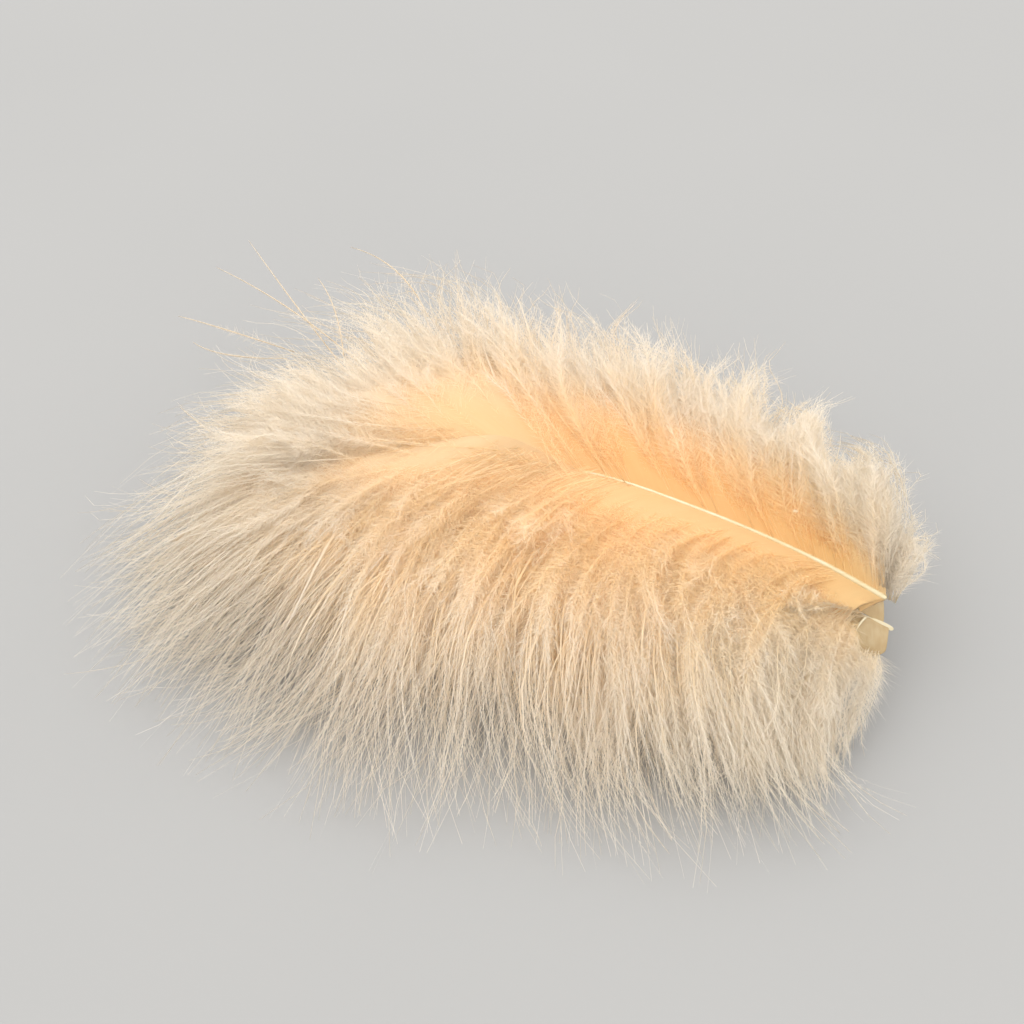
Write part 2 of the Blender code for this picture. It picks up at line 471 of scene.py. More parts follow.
# %% [markdown]
# The down is deep orange at the barbs' roots, and the tips stayed nearly cream. The deep orange is partly
# the dye and partly painted shade, for the warm, dim light deep in the down by the shaft. Two numbers go
# with every point of the down: how pale it is, and how far its tone leans from peach towards yellow. The
# material reads both.


# %% Paleness and tone
def paleness(tufts, s, t):
    share = tufts.share[:, None]
    near = (tufts.sign < 0)[:, None]
    # Low paleness near the roots is partly the dye and partly painted shade.
    pale_near = 0.18 + 0.78 * ease(0.18, 0.96, t) + 0.20 * (1 - ease(0.06, 0.26, share)) * ease(0.12, 0.35, t)
    start = ease(0.0, 0.20, share)
    pale_far = 0.02 + 0.84 * ease(0, 1, (t - between((-0.12, 0.06), start)) / between((0.30, 0.50), start))
    pale = np.where(near, pale_near, pale_far)
    # Paler by the roots along the shaft's hidden end: painted light that lifts the shade of the crease there.
    pale = pale + 0.20 * ease(0.50, 0.66, share) * (1 - ease(0.15, 0.5, t))
    pale = pale + 0.30 * ease(0.72, 1.0, share) + 0.20 * ease(0.6, 1.0, share) * ease(0.1, 0.45, t)
    own_tip = 0.34 * ease(0.35, 1.0, s) * (1 - ease(0.6, 1.0, t))
    # Barbs lower in a layer get a deeper orange: painted shade between the clumps.
    return np.clip(pale + own_tip - 0.10 * tufts.depth[:, None] + tufts.pale[:, None], 0.02, 0.98)


def toned(tufts, rng, spread):
    share = tufts.share
    yellow = 0.80 - 0.52 * ease(0.05, 0.42, share) + 0.15 * ease(0.6, 1.0, share)
    return np.clip(yellow + 0.10 * tufts.tone + spread * rng.normal(0, 1, len(share)), 0.03, 0.97)


print("near side, root to tip:", np.round(paleness(some, np.zeros((5, 5)), even_shares(5, 5))[2], 2))

# %% [markdown]
# Each tuft is split into single barbs. A barb has a root, sway, length and tip of its own, and is then
# pulled part of the way to its tuft's middle line. The pull makes pointed wisps; too much of it looks
# like wet hair.


# %% Barbs
BARBS_IN_TUFT = 7
RINGS = 11
BARB_TURN = 4.5
BARB_SPREAD = 0.0012
LOOSE_RAISE = (-0.0004, 0.0012)
LOOSE_SHIFT = 0.0024
SWAY = 0.00035
BOB = 0.0003
TIP_HOOK = 0.0011
TIP_LIFT = (0.0002, 0.0007)
LOWEST = 0.00025


def barbs_of(tufts, hold, rng):
    """Splits tufts into barbs. hold: how far they are drawn together, at the quill and at the plume's tip."""
    many = tufts.made(lambda values: np.repeat(values, BARBS_IN_TUFT, axis=0))
    n = len(many.share)
    own = many.made(np.copy)
    own.share = np.clip(many.share + rng.normal(0, 0.010, n), 0.0, 1.0)
    own.root = many.root + root_at(own.share) - root_at(many.share)
    own.heading = many.heading + np.radians(rng.normal(0, BARB_TURN, n))
    own.length = many.length * np.clip(rng.normal(1.0, 0.08, n), 0.75, 1.10)
    own.depth = np.clip(many.depth + rng.normal(0, 0.05, n), 0.0, 1.0)
    own.reach = np.where(many.reach < 1, many.reach * rng.uniform(0.8, 1.1, n), 1.0)
    s = even_shares(n, RINGS)
    middle, _, _ = lines_of(many, s)
    lines, across, t = lines_of(own, s)
    height = lines[:, :, 2]
    loose = ease(0.50, 0.62, own.share)[:, None] * (1 - t) ** 2
    height += loose * rng.uniform(*LOOSE_RAISE, (n, 1))
    lines[:, :, 1] += loose * rng.normal(0.0, LOOSE_SHIFT, (n, 1))
    pull = between(hold, many.share)[:, None] * ease(0.05, 0.7, s) * (1 - 0.45 * ease(0.75, 1.0, s))
    lines += (middle - lines) * pull[:, :, None]
    spot = rng.uniform(-1, 1, (n, 2)) * BARB_SPREAD
    spread = ease(0.0, 0.35, t) * (1 - 0.75 * ease(0.5, 0.95, s))
    lines += across[:, None, :] * (spot[:, :1] * spread)[:, :, None]
    height += 0.7 * spot[:, 1:] * spread
    phase = rng.uniform(0, 2 * math.pi, (n, 1))
    sideways = SWAY * t * np.sin(phase + 2 * math.pi * rng.uniform(1.0, 3.0, (n, 1)) * t)
    sideways += rng.normal(0, TIP_HOOK, (n, 1)) * s ** 4
    lines += across[:, None, :] * sideways[:, :, None]
    height += BOB * t * np.sin(1.7 * phase + 2 * math.pi * rng.uniform(0.8, 2.0, (n, 1)) * t)
    height += rng.normal(*TIP_LIFT, (n, 1)) * s ** 4
    np.maximum(height, LOWEST + 0.0008 * rng.uniform(0, 1, (n, 1)), out=height)
    pale, tone = paleness(own, s, t), toned(own, rng, 0.08)
    return Rows(lines=lines, t=t, s=s, share=own.share, sign=own.sign, pale=pale, tone=tone)


some_barbs = barbs_of(some, (0.4, 0.2), np.random.default_rng(1))
print(len(some_barbs.lines), "barbs from five tufts")

# %% [markdown]
# A barb is about as thin as a hair. Those that may be seen alone are closed three-sided tubes, and those
# inside the mass are narrow strips, which cost a third as much. Nobody can tell them apart at this size.

# %% Meshes of barbs
BARB_RADIUS = 0.000058
BARB_TIP_RADIUS = 0.000020
INNER_SHARE = 0.8
TUBE_SIDES = 3
TONE_STEP = 0.01
SURFACE_GAP = 0.0001


def barb_radius(grown):
    thick = (0.35 + 0.65 * ease(0.1, 0.6, grown.t)) * (1 - grown.s) ** 0.5
    return BARB_TIP_RADIUS + (BARB_RADIUS - BARB_TIP_RADIUS) * thick


def tints_around(grown, around):
    """Paleness and tone of a mesh with so many points around each ring of a barb."""
    u = np.repeat(grown.pale[:, :, None], around, axis=2)
    v = grown.tone[:, None, None] + np.linspace(-TONE_STEP, TONE_STEP, around)
    return np.stack([u, np.broadcast_to(v, u.shape)], -1).reshape(-1, 2)


def halved(a, b, c, d):
    """Two triangles for each four-sided face, whose corners are points' numbers."""
    return np.stack([np.stack([a, b, c], -1), np.stack([a, c, d], -1)], -2).reshape(-1, 3)


def barb_tubes(grown, thickness=1.0):
    """Closed tubes: their points, triangles and tints."""
    lines = grown.lines
    n, rings, _ = lines.shape
    _, one, two = frames(lines)
    angles = np.arange(TUBE_SIDES) * 2 * math.pi / TUBE_SIDES
    ring = one[:, :, None, :] * np.cos(angles)[:, None] + two[:, :, None, :] * np.sin(angles)[:, None]
    radius = thickness * barb_radius(grown)
    points = (lines[:, :, None, :] + ring * radius[:, :, None, None]).reshape(-1, 3)
    corner = np.arange(n * rings * TUBE_SIDES).reshape(n, rings, TUBE_SIDES)
    a, b = corner[:, :-1], corner[:, 1:]
    walls = halved(a, np.roll(a, -1, axis=2), np.roll(b, -1, axis=2), b)
    caps = np.concatenate([corner[:, 0][:, ::-1], corner[:, -1]])
    return points, np.concatenate([walls, caps]), tints_around(grown, TUBE_SIDES)


def strips(grown, half_width, roll):
    """Flat strips along lines, rolled about them by an angle each."""
    lines = grown.lines
    n, rings, _ = lines.shape
    _, one, two = frames(lines)
    side = one * np.cos(roll)[:, None, None] + two * np.sin(roll)[:, None, None]
    side = side * half_width[:, :, None]
    points = np.stack([lines - side, lines + side], axis=2).reshape(-1, 3)
    points[:, 2] = np.maximum(points[:, 2], SURFACE_GAP)
    corner = np.arange(n * rings * 2).reshape(n, rings, 2)
    triangles = halved(corner[:, :-1, 0], corner[:, :-1, 1], corner[:, 1:, 1], corner[:, 1:, 0])
    return points, triangles, tints_around(grown, 2)


first_barb = some_barbs.made(lambda values: values[:1])
print("triangles per barb: tube", len(barb_tubes(first_barb)[1]), "strip", 2 * (RINGS - 1))

# %% [markdown]
# Barbules make down soft. On the real plume they are thinner than this mesh can afford, so each one here
# is a slim triangle, about as wide as it can be without being seen as one. They lean forwards in two
# rows, one on each side of the barb, and lie mostly level, so that a barb looks like a tiny feather from
# above.

# %% Barbules
BARBULE_LENGTH = 0.0031
BARBULE_HALF_WIDTH = 0.000030
LEAN = (48.0, 12.0)
START_BARE = {-1.0: 0.12, 1.0: 0.08}
BARBULE_GAP = 0.00005


def barbule_blades(grown, per_barb, bare, fluff_to, rng):
    """Two rows of barbules along each barb, up to fluff_to of its way; bare: how short they get near it."""
    lines = grown.lines
    n, rings, _ = lines.shape
    begin = np.where(grown.sign < 0, START_BARE[-1.0], START_BARE[1.0])
    begin = np.where(grown.t[:, 0] > 0, 0.01, begin)[:, None]
    first, last = grown.t[:, :1], grown.t[:, -1:]
    finish = np.clip((fluff_to - first) / (last - first), begin + 0.05, 1.0)
    place = (np.arange(per_barb)[None, :] + rng.uniform(0, 1, (n, per_barb))) / per_barb
    place = begin + (finish * rng.uniform(0.85, 1.0, (n, 1)) - begin) * place
    place = (0.01 + 0.98 * place) * (rings - 1)
    index = np.minimum(place.astype(int), rings - 2)
    f = place - index
    row = np.arange(n)[:, None]

    def at(values):
        return values[row, index] * (1 - f) + values[row, index + 1] * f

    t, s = at(grown.t), at(grown.s)
    ahead, one, two = frames(lines)
    f3 = f[..., None]
    base = lines[row, index] * (1 - f3) + lines[row, index + 1] * f3
    forward, side, up = ahead[row, index], one[row, index], two[row, index]
    row_turn = np.pi * (np.arange(per_barb)[None, :] % 2)
    spin = rng.normal(0, 0.55, (n, 1)) + rng.normal(0, 1.2, (n, 1)) * s + row_turn
    spin = spin + rng.normal(0, 0.40, s.shape)
    out = side * np.cos(spin)[..., None] + up * np.sin(spin)[..., None]
    lean = np.radians(rng.normal(*LEAN, s.shape) * (1 - 0.5 * ease(0.45, 1.0, t)))[..., None]
    reach = forward * np.cos(lean) + out * np.sin(lean)
    size = (1 - 0.30 * t) * (1 - 0.35 * ease(0.6, 1.0, s)) * (1 - bare * ease(fluff_to - 0.35, fluff_to, t))
    clear = 0.10 + 0.90 * ease(0.05, 0.26, t)
    length = BARBULE_LENGTH * size * clear * rng.uniform(0.5, 1.2, s.shape)
    flat = unit(np.cross(reach, rng.normal(0, 1, reach.shape)))
    tip = base + reach * length[..., None]
    tip[..., 2] = np.maximum(tip[..., 2], SURFACE_GAP)
    half = flat * BARBULE_HALF_WIDTH
    points = np.stack([base - half, base + half, tip], axis=2).reshape(-1, 3)
    points[:, 2] = np.maximum(points[:, 2], BARBULE_GAP)
    u0 = at(grown.pale)
    u = np.stack([u0 - 0.01, u0 + 0.01, u0 + 0.10], axis=2).reshape(-1)
    v0 = np.clip(grown.tone[:, None] + rng.normal(0, 0.05, s.shape), 0.02, 0.98)
    v = np.stack([v0, v0 + 0.01, v0 - 0.01], axis=2).reshape(-1)
    return points, np.arange(len(points)).reshape(-1, 3), np.stack([u, v], -1)


print("barbules on five tufts:", len(barbule_blades(some_barbs, 40, 0.5, 1.0, np.random.default_rng(1))[1]))

# %% [markdown]
# Between the barbs one looks into a matted underwool, never through to the floor. A thatch of wide soft
# strips under the top barbs does that job. It thins out to points before the barbs' own tips, so that it
# has no edge.

# %% Underwool
WOOL_HALF_WIDTH = 0.00015
WOOL_DEPTH = (0.0010, 0.0030)
WOOL_RINGS = 7
WOOL_LOWEST = 0.0004
WOOL_POINT = 0.00001


def underwool(layer, low, high, count, reach, rng):
    """A thatch of strips under the top of a layer."""
    wool = tufts_of(layer, low, high, count, rng)
    wool.reach = rng.uniform(*reach, count)
    wool.from_t = wool.reach * rng.uniform(0.25, 0.60, count)
    wool.wave, wool.hook = 0.5 * wool.wave, 0.5 * wool.hook
    s = even_shares(count, WOOL_RINGS)
    lines, _, t = lines_of(wool, s)
    lines[:, :, 2] -= rng.uniform(*WOOL_DEPTH, (count, 1)) * ease(0.0, 0.3, t)
    lines[:, :, 2] = np.maximum(lines[:, :, 2], WOOL_LOWEST)
    grown = Rows(lines=lines, pale=paleness(wool, 0 * s, t), tone=toned(wool, rng, 0.10))
    half_width = WOOL_HALF_WIDTH * (0.25 + 0.75 * ease(0.0, 0.2, s)) * (1 - s ** 2) + WOOL_POINT
    return strips(grown, half_width, rng.normal(0, 0.5, count))


print("underwool strips:", 2 * (WOOL_RINGS - 1), "triangles each")

# %% [markdown]
# Thousands of objects would be slow, so all tubes, strips and barbules of a piece are joined as arrays
# first and then handed to one mesh. Their tints go with them as a UV map.


# %% Join arrays into one mesh
def joined(parts):
    points, triangles, tints = zip(*parts)
    starts = np.cumsum([0] + [len(part) for part in points[:-1]])
    triangles = [part + start for part, start in zip(triangles, starts)]
    return np.concatenate(points), np.concatenate(triangles), np.concatenate(tints)


def mesh_object(name, points, triangles, tints, tint_map):
    """A mesh object at the origin, from arrays. The tints go into its UV map tint_map."""
    mesh = bpy.data.meshes.new(name)
    mesh.vertices.add(len(points))
    mesh.vertices.foreach_set("co", points.astype(np.float32).ravel())
    mesh.loops.add(triangles.size)
    mesh.loops.foreach_set("vertex_index", triangles.astype(np.int32).ravel())
    mesh.polygons.add(len(triangles))
    mesh.polygons.foreach_set("loop_start", np.arange(0, triangles.size, 3, dtype=np.int32))
    tints = np.clip(tints[triangles.ravel()], 0.001, 0.999)
    mesh.uv_layers.new(name=tint_map).uv.foreach_set("vector", tints.astype(np.float32).ravel())
    mesh.update(calc_edges=True)
    mesh.polygons.foreach_set("use_smooth", np.ones(len(mesh.polygons), dtype=bool))
    obj = bpy.data.objects.new(name, mesh)
    bpy.context.collection.objects.link(obj)
    return obj


# %% [markdown]
# ## The dyed down's material
# Down is matt and lets light through. So a rough surface is mixed with a translucent one, in a paler tint
# of the same dye. Two ramps give the dye's colours from root to tip, one for peach and one for the
# yellower quill end.

# %% Down material
PEACH = (
    (0.0, (1.00, 0.77, 0.46)),
    (0.35, (1.00, 0.83, 0.57)),
    (0.7, (0.985, 0.85, 0.68)),
    (1.0, (0.90, 0.83, 0.73)),
)
YELLOW = (
    (0.0, (0.96, 0.78, 0.41)),
    (0.35, (0.97, 0.82, 0.52)),
    (0.7, (0.94, 0.845, 0.65)),
    (1.0, (0.88, 0.825, 0.72)),
)
THROUGH_DEEP = (1.0, 0.83, 0.58, 1.0)
THROUGH_PALE = (0.97, 0.91, 0.82, 1.0)
THROUGH_SHARE = 0.55
TINT_MAP = "OFBake"
COLOUR_A, COLOUR_B, COLOUR_OUT = 6, 7, 2


def dye_colour(nodes, tint_map, peach_stops, yellow_stops):
    """The dye's colour and its paleness from a UV map of paleness and tone."""
    tint = nodes.node("ShaderNodeUVMap", {"uv_map": tint_map}, {})
    pale, tone = (nodes.node("ShaderNodeSeparateXYZ", {}, {0: tint}, axis) for axis in "XY")
    mixed = {0: tone, COLOUR_A: ramp(nodes, peach_stops, pale), COLOUR_B: ramp(nodes, yellow_stops, pale)}
    return nodes.node("ShaderNodeMix", {"data_type": "RGBA"}, mixed, COLOUR_OUT), pale


def light_through(nodes, values, pale, share):
    """Mixes a Principled surface with light that comes through it, and shows both."""
    surface = nodes.node("ShaderNodeBsdfPrincipled", {}, values)
    deep = nodes.node("ShaderNodeBsdfTranslucent", {}, {"Color": THROUGH_DEEP})
    light = nodes.node("ShaderNodeBsdfTranslucent", {}, {"Color": THROUGH_PALE})
    through = nodes.node("ShaderNodeMixShader", {}, {0: pale, 1: deep, 2: light})
    return shown(nodes, nodes.node("ShaderNodeMixShader", {}, {0: share, 1: surface, 2: through}))


def down_material():
    material, nodes = new_material("dyed_down")
    colour, pale = dye_colour(nodes, TINT_MAP, PEACH, YELLOW)
    soft = {"Base Color": colour, "Roughness": 0.75, "Specular IOR Level": 0.15, "Sheen Weight": 0.25}
    light_through(nodes, {**soft, "Sheen Roughness": 0.5}, pale, THROUGH_SHARE)
    return material


down = down_material()
print("down material:", len(down.node_tree.nodes), "nodes")

# %% [markdown]
# ## The down, in five pieces
# A mesh of a million triangles is hard to open, so the down is made in pieces, each with its own stretch
# of the shaft. A piece has long tufts through all its depth, a rim that fills the fringe, and short tufts
# whose ends curl up out of the surface. The tip's rim has the longest bare barbs, and the quill's the
# most fluff.

# %% Grow the down
PIECES = (
    dict(
        name="down_near_quill", side="near", stretch=(0.01, 0.36), seed=11, bare=0.5, fluff_to=0.96,
        long=46, long_reach=1.0, rim=64, rim_barbules=76, short=52, short_reach=(0.38, 0.90),
        wool=700, wool_reach=(0.60, 0.86), low_reach=(0.60, 0.90),
    ),
    dict(
        name="down_near_middle", side="near", stretch=(0.36, 0.68), seed=12, bare=0.7, fluff_to=0.86,
        long=50, long_reach=1.0, rim=90, rim_barbules=36, short=42, short_reach=(0.36, 0.82),
        wool=950, wool_reach=(0.48, 0.76), low_reach=(0.48, 0.80),
    ),
    dict(
        name="down_near_tip", side="near", stretch=(0.68, 1.00), seed=13, bare=0.9, fluff_to=0.70,
        long=56, long_reach=1.0, rim=120, rim_barbules=8, short=34, short_reach=(0.34, 0.66),
        wool=1000, wool_reach=(0.38, 0.62), low_reach=(0.38, 0.66),
    ),
    dict(
        name="down_far_quill", side="far", stretch=(0.016, 0.50), seed=14, bare=0.5, fluff_to=0.88,
        long=52, long_reach=0.75, rim=60, rim_barbules=70, short=26, short_reach=(0.46, 0.78),
        wool=950, wool_reach=(0.40, 0.66), low_reach=(0.58, 0.96),
    ),
    dict(
        name="down_far_tip", side="far", stretch=(0.50, 1.00), seed=15, bare=0.8, fluff_to=0.84,
        long=54, long_reach=0.93, rim=90, rim_barbules=28, short=26, short_reach=(0.45, 0.78),
        wool=1050, wool_reach=(0.42, 0.68), low_reach=(0.54, 0.90),
    ),
)
LAYER_WEIGHTS = {"near": (0.62, 0.38), "far": (0.52, 0.26, 0.22)}
WOOL_WEIGHTS = {"near": (0.60, 0.40), "far": (0.36, 0.32, 0.32)}
LONG_HOLD = (0.60, 0.25)
SHORT_HOLD = (0.80, 0.55)
RIM_HOLD = {"near": (0.95, 0.20), "far": (0.85, 0.50)}
ROUND_SHARE = 0.25
RIM_ROUND_SHARE = 0.4
RIM_START = 0.48
CURL = (0.0005, 0.0060)
SHORT_LIFT = 0.0006
LONG_BARBULES = 168
SHORT_BARBULES = 140


def shown_as_down(obj, material):
    obj.data.materials.append(material)
    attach(obj, "root")
    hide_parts("marabou_feather")
    print(obj.name, len(obj.data.polygons), "triangles")
    return len(obj.data.polygons)


def barbs_with_barbules(tufts, hold, round_share, barbules, fluff, rng):
    """Makes a share of the tufts' barbs as tubes and the others as strips, with barbules on all."""
    grown = barbs_of(tufts, hold, rng)
    n = len(grown.lines)
    is_round = rng.uniform(0, 1, n) < round_share
    flat = grown.made(lambda values: values[~is_round])
    roll = rng.uniform(0, math.pi, n)[~is_round]
    tubes = barb_tubes(grown.made(lambda values: values[is_round]))
    flats = strips(flat, INNER_SHARE * barb_radius(flat), roll)
    return [tubes, flats, barbule_blades(grown, barbules, *fluff, rng)]


def grow_piece(piece):
    rng = np.random.default_rng(piece["seed"])
    side, stretch, fluff = piece["side"], piece["stretch"], (piece["bare"], piece["fluff_to"])
    layers = [layer for layer in LAYERS if layer["side"] == side]
    parts = []
    for layer, weight, wool in zip(layers, LAYER_WEIGHTS[side], WOOL_WEIGHTS[side]):
        on_top = layer is layers[0]
        count = round(piece["long"] * weight)
        tufts = tufts_of(layer, *stretch, count, rng, 0.25 * rng.uniform(0, 1, count))
        tufts.length = (piece["long_reach"] if on_top else 1.0) * tufts.length
        parts += barbs_with_barbules(tufts, LONG_HOLD, ROUND_SHARE, LONG_BARBULES, fluff, rng)
        count = round(piece["rim"] * weight)
        rim = tufts_of(layer, *stretch, count, rng, rng.uniform(0.0, 1, count))
        rim.from_t = np.full(count, RIM_START)
        fine = piece["rim_barbules"]
        parts += barbs_with_barbules(rim, RIM_HOLD[side], RIM_ROUND_SHARE, fine, fluff, rng)
        reach = piece["wool_reach"] if on_top else piece["low_reach"]
        parts.append(underwool(layer, *stretch, round(piece["wool"] * wool), reach, rng))
    count = piece["short"]
    short = tufts_of(layers[0], *stretch, count, rng, 0.08 * rng.uniform(0, 1, count))
    short.reach = rng.uniform(*piece["short_reach"], count)
    curled = (short.sign < 0) & (short.share < 0.55)
    curls = rng.uniform(*CURL, count) * ease(0.06, 0.2, short.share)
    short.hook = np.where(curled, curls, 1.5 * short.hook)
    short.lift = np.abs(short.lift) + SHORT_LIFT
    short.wave = 1.6 * short.wave
    grown = barbs_of(short, SHORT_HOLD, rng)
    roll = rng.uniform(0, math.pi, len(grown.lines))
    parts.append(strips(grown, INNER_SHARE * barb_radius(grown), roll))
    parts.append(barbule_blades(grown, SHORT_BARBULES, *fluff, rng))
    return mesh_object(piece["name"], *joined(parts), TINT_MAP)


total = sum(shown_as_down(grow_piece(piece), down) for piece in PIECES)
print("down so far:", total, "triangles")

# %% [markdown]
# ## Loose down
# Not all barbs keep to their side. Towards the tip some cross over the shaft and hide it, a haze of short
# ones stands off the quill end, a few long ones stick out past the rest, and the stub carries its own
# small tufts.

# %% Loose tufts
LOOSE_SEED = 17
LOOSE_LAYER = {"side": "far", "arch": (0.0190, 0.0195), "foot": 0.0090, "reach": 1.0, "half": 0.003}
CROSSING_TUFTS = 38
HAZE_TUFTS = 12
STRAYS = (
    ((-0.0284, 0.0341, 0.0170), (-0.0434, 0.0610, 0.0150)),
    ((-0.0290, 0.0336, 0.0170), (-0.0486, 0.0558, 0.0130)),
    ((-0.0385, 0.0358, 0.0130), (-0.0549, 0.0485, 0.0080)),
    ((-0.0383, 0.0337, 0.0120), (-0.0514, 0.0426, 0.0070)),
    ((-0.0243, 0.0306, 0.0190), (-0.0289, 0.0457, 0.0180)),
    ((-0.0145, 0.0403, 0.0190), (-0.0248, 0.0575, 0.0160)),
    ((-0.0403, 0.0161, 0.0090), (-0.0508, 0.0273, 0.0060)),
)
STRAY_SINK = 0.45
STRAY_BEND = 0.0012
STRAY_THICKNESS = 3.0
STRAY_BARBULES = 60
STUB_TUFTS = 24
RIDGE_TUFTS = 4
UNDER_TUFTS = 38
UNDER_DROP = np.array([0.0, 0.0, 0.0016])
EDGE_TUFTS = 7
FAN_ROUTE = (
    (0.0522, -0.0194, 0.0099),
    (0.0503, -0.0187, 0.0110),
    (0.0480, -0.0184, 0.0126),
    (0.0440, -0.0186, 0.0136),
    (0.0385, -0.0186, 0.0142),
)


def turned(tufts, degrees, first, last):
    """Sets the tufts' headings, and how much of them their first and last stretches take."""
    tufts.heading = np.radians(degrees)
    tufts.start, tufts.finish = first * tufts.heading, last * tufts.heading


def crossing_tufts(rng):
    """Tufts along the hidden end of the shaft, which fill the step from the near side up to the far side."""
    n = CROSSING_TUFTS
    tufts = tufts_of(LOOSE_LAYER, 0.57, 1.0, n, rng)
    high = rng.uniform(0, 1, n)
    tip = ease(0.5, 1.0, tufts.share)
    signed = between((-26.0, -9.0), tip) + between((48.0, 24.0), tip) * high + rng.normal(0, 4, n)
    tufts.sign = np.where(signed < 0, -1.0, 1.0)
    turned(tufts, np.abs(signed), 0.6, 1.15)
    tufts.length = rng.uniform(0.021, 0.031, n)
    tufts.arch_a = between((0.0174, 0.0218), high) + rng.normal(0, 0.0005, n)
    tufts.arch_b = between((0.0168, 0.0217), high) + rng.normal(0, 0.0005, n)
    tufts.foot = between((0.0060, 0.0165), high) + rng.normal(0, 0.0010, n)
    tufts.pale = between((-0.16, -0.30), tip)
    return tufts


def haze_tufts(rng):
    """Short fluff that stands off the quill end, beyond the far side's first locks."""
    n = HAZE_TUFTS
    tufts = tufts_of(LOOSE_LAYER, 0.0, 0.04, n, rng)
    turned(tufts, rng.uniform(104, 134, n), 0.9, 1.1)
    tufts.length = rng.uniform(0.006, 0.015, n)
    tufts.arch_a = rng.uniform(0.013, 0.018, n)
    tufts.arch_b = tufts.arch_a + 0.002
    tufts.foot = rng.uniform(0.012, 0.019, n)
    tufts.pale = np.full(n, 0.3)
    return tufts


def stub_tufts(rng):
    """The afterfeather's tufts, which fan out from its stub and cover the near side's first locks."""
    n = STUB_TUFTS
    tufts = tufts_of(LAYERS[0], 0.0, 0.05, n, rng)
    place = np.linspace(0.0, 1.0, n)
    tufts.root = along(FAN_ROUTE, place)
    turned(tufts, between((70.0, 48.0), place) + rng.normal(0, 5, n), between((0.9, 0.4), place), 1.3)
    tufts.length = between((0.016, 0.029), place) * rng.uniform(0.8, 1.08, n)
    tufts.arch_a = tufts.root[:, 2] + between((0.0004, 0.0016), place)
    tufts.arch_b = tufts.root[:, 2] + between((-0.0020, 0.0006), place)
    tufts.foot = rng.uniform(0.0016, 0.0045, n)
    tufts.wave, tufts.hook = 0.5 * tufts.wave, 0.4 * tufts.hook
    tufts.from_t = 0.26 * (1 - ease(0.24, 0.54, place))
    tufts.pale = np.full(n, 0.34)
    return tufts


def ridge_tufts(rng):
    """Thin tufts that run along the fan's upper edge from the stub towards the tip."""
    n = RIDGE_TUFTS
    tufts = tufts_of(LAYERS[0], 0.0, 0.05, n, rng)
    tufts.root = along(FAN_ROUTE, rng.uniform(0.28, 0.90, n))
    turned(tufts, rng.uniform(-4, 26, n), 0.6, 1.6)
    tufts.length = rng.uniform(0.008, 0.014, n)
    tufts.arch_a = tufts.root[:, 2] + rng.uniform(0.0006, 0.0012, n)
    tufts.arch_b = tufts.root[:, 2] + rng.uniform(0.0008, 0.0016, n)
    tufts.foot = tufts.root[:, 2] + rng.uniform(0.0002, 0.0016, n)
    tufts.hook = np.abs(tufts.hook) * 0.5
    tufts.from_t, tufts.pale = np.full(n, 0.02), np.full(n, 0.42)
    return tufts


def under_tufts(rng):
    """Down below the shaft, which fills the hollow that shows from the quill end."""
    n = UNDER_TUFTS
    tufts = tufts_of(LOOSE_LAYER, 0.03, 0.24, n, rng)
    tufts.root = tufts.root - UNDER_DROP
    turned(tufts, rng.uniform(-80, 105, n), 1.1, 0.9)
    tufts.length = rng.uniform(0.012, 0.019, n)
    tufts.arch_a = rng.uniform(0.0085, 0.0115, n)
    tufts.arch_b = rng.uniform(0.0040, 0.0080, n)
    tufts.foot = rng.uniform(0.0008, 0.0025, n)
    tufts.pale = np.full(n, 0.36)
    return tufts


def edge_tufts(rng):
    """Thin pale tufts over the far side's edge at the quill end, which make it soft."""
    n = EDGE_TUFTS
    tufts = tufts_of(LAYERS[2], 0.008, 0.030, n, rng)
    tufts.arch_a = tufts.arch_a + rng.uniform(0.0001, 0.0005, n)
    tufts.arch_b = tufts.arch_b + 0.0004
    tufts.from_t, tufts.pale = np.full(n, 0.04), np.full(n, 0.46)
    return tufts


def stray_barbs(rng):
    """A few long stiff barbs that stick out past the far side near the tip, nearly straight."""
    bases, tips = np.array(STRAYS).transpose(1, 0, 2)
    bases = bases - STRAY_SINK * (tips - bases)
    n = len(bases)
    s = even_shares(n, RINGS)
    lines = bases[:, None] + (tips - bases)[:, None] * s[:, :, None]
    lines += rng.normal(0, STRAY_BEND, (n, 1, 3)) * (4 * s * (1 - s))[:, :, None]
    share = np.full(n, 0.9)
    return Rows(lines=lines, t=s, s=s, share=share, sign=np.ones(n), pale=0.6 + 0.3 * s, tone=0.3 * share)


def grow_loose():
    rng = np.random.default_rng(LOOSE_SEED)
    parts = []
    for tufts, hold, barbules in (
        (crossing_tufts(rng), (0.5, 0.4), 46),
        (haze_tufts(rng), (0.2, 0.2), 60),
        (stub_tufts(rng), (0.85, 0.85), 130),
        (ridge_tufts(rng), (0.4, 0.4), 14),
        (under_tufts(rng), (0.4, 0.4), 52),
        (edge_tufts(rng), (0.3, 0.3), 24),
    ):
        grown = barbs_of(tufts, hold, rng)
        parts.append(barb_tubes(grown))
        parts.append(barbule_blades(grown, barbules, 0.3, 1.0, rng))
    strays = stray_barbs(rng)
    parts.append(barb_tubes(strays, STRAY_THICKNESS))
    parts.append(barbule_blades(strays, STRAY_BARBULES, 0.9, 0.6, rng))
    return mesh_object("down_loose", *joined(parts), TINT_MAP)


total += shown_as_down(grow_loose(), down)
